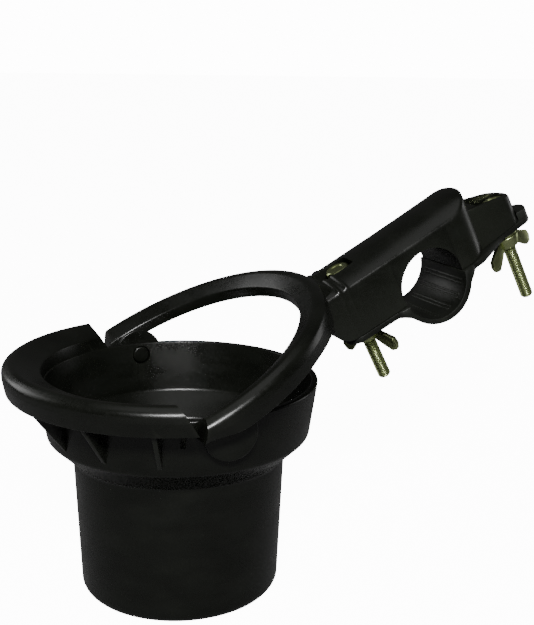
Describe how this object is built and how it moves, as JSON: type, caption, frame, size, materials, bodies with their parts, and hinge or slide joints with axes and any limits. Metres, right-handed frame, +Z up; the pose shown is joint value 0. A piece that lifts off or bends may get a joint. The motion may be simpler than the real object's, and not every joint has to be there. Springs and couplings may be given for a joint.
{
  "type": "bar-clamp drink holder",
  "caption": "Drink holder cup hinged in a moulded ring arm, with a bolted split clamp and wing nuts that grip a round bar.",
  "frame": {"origin": "centre of the clamped bar, on the holder's plane of symmetry", "axes": "+X from the cup towards the clamp's free end, +Y along the clamped bar, +Z up, the way the cup stands open"},
  "size_m": [0.21, 0.1206, 0.1374],
  "materials": {
    "black_moulding": "black satin moulding, smooth on the rolled edges",
    "jaw_moulding": "black satin moulding with fine grip ribs",
    "zinc_plate": "bright zinc plate, pale with a faint yellow cast"
  },
  "bodies": {
    "arm": {"arm": "black_moulding", "bolt_inner": "zinc_plate", "bolt_outer": "zinc_plate"},
    "cup": {"cup": "black_moulding"},
    "jaw": {"lower_jaw": "jaw_moulding", "washer_inner": "zinc_plate", "washer_outer": "zinc_plate"},
    "nut_inner": {"wing_nut_inner": "zinc_plate"},
    "nut_outer": {"wing_nut_outer": "zinc_plate"}
  },
  "joints": [
    {"name": "cup_hinge", "type": "hinge", "parent": "arm", "child": "cup", "pos_m": [-0.09376, 0, -0.03376], "axis": [0, 1, 0], "range_deg": [-27, 35]},
    {"name": "nut_inner_turn", "type": "hinge", "parent": "jaw", "child": "nut_inner", "pos_m": [-0.02083, 0, -0.01807], "axis": [0.4587, 0, -0.8886], "range_deg": [0, 5400]},
    {"name": "nut_outer_turn", "type": "hinge", "parent": "jaw", "child": "nut_outer", "pos_m": [0.04075, 0, 0.01372], "axis": [0.4587, 0, -0.8886], "range_deg": [0, 5400]},
    {"name": "jaw_slide", "type": "slide", "parent": "arm", "child": "jaw", "axis": [0.4587, 0, -0.8886], "range_m": [0, 0.012]}
  ],
  "couplings": [
    {"joint": "nut_inner_turn", "follows": "jaw_slide", "rad_per_m": 7854},
    {"joint": "nut_outer_turn", "follows": "jaw_slide", "rad_per_m": 7854}
  ]
}
